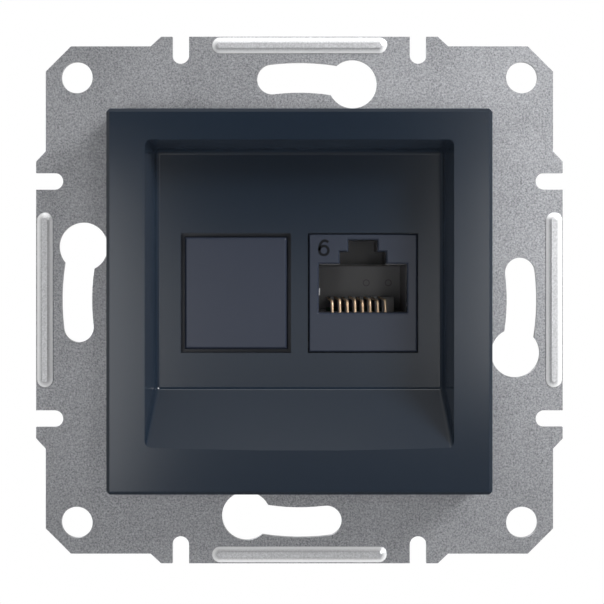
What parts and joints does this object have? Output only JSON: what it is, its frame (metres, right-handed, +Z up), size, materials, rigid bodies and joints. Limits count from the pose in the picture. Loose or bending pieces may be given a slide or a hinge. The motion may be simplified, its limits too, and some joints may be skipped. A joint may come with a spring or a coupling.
{
  "type": "ethernet socket",
  "caption": "Flush wall-mount data socket: a pressed steel support frame carries a dark square cover with a recessed pocket, a plug port and a blanked window.",
  "frame": {"origin": "middle of the support frame's back face, which is the centre of its corner hole pattern", "axes": "-Y out of the wall towards the viewer, +Y back into the wall, +X to the viewer's right, +Z up"},
  "size_m": [0.071, 0.0421, 0.071],
  "materials": {
    "zinc_steel": "zinc-plated pressed sheet, fine grey speckle",
    "anthracite_cover": "satin, finely eroded moulding",
    "anthracite_blank": "satin moulding",
    "anthracite_bezel": "satin moulding",
    "black_moulding": "plain moulded",
    "grey_moulding": "plain moulded, light grey",
    "gold_wire": "gold-plated, bright",
    "tinned_bronze": "tin-plated bronze",
    "green_board": "solder-masked glass laminate"
  },
  "bodies": {
    "socket": {"support_frame": "zinc_steel", "cover_plate": "anthracite_cover", "blank_insert": "anthracite_blank", "module_carrier": "black_moulding", "port_bezel": "anthracite_bezel", "jack_housing": "black_moulding", "contact_sled": "grey_moulding", "circuit_board": "green_board", "termination_block": "grey_moulding", "contact_wire_1": "gold_wire", "contact_wire_2": "gold_wire", "contact_wire_3": "gold_wire", "contact_wire_4": "gold_wire", "contact_wire_5": "gold_wire", "contact_wire_6": "gold_wire", "contact_wire_7": "gold_wire", "contact_wire_8": "gold_wire", "idc_terminal_1": "tinned_bronze", "idc_terminal_2": "tinned_bronze", "idc_terminal_3": "tinned_bronze", "idc_terminal_4": "tinned_bronze", "idc_terminal_5": "tinned_bronze", "idc_terminal_6": "tinned_bronze", "idc_terminal_7": "tinned_bronze", "idc_terminal_8": "tinned_bronze"},
    "upper_cap": {"upper_wire_cap": "grey_moulding"},
    "lower_cap": {"lower_wire_cap": "grey_moulding"}
  },
  "joints": [
    {"name": "upper_cap_hinge", "type": "hinge", "parent": "socket", "child": "upper_cap", "pos_m": [0.00843, 0.01355, 0.00845], "axis": [1, 0, 0], "range_deg": [0, 95]},
    {"name": "lower_cap_hinge", "type": "hinge", "parent": "socket", "child": "lower_cap", "pos_m": [0.00843, 0.01355, -0.00645], "axis": [-1, 0, 0], "range_deg": [0, 95]}
  ]
}
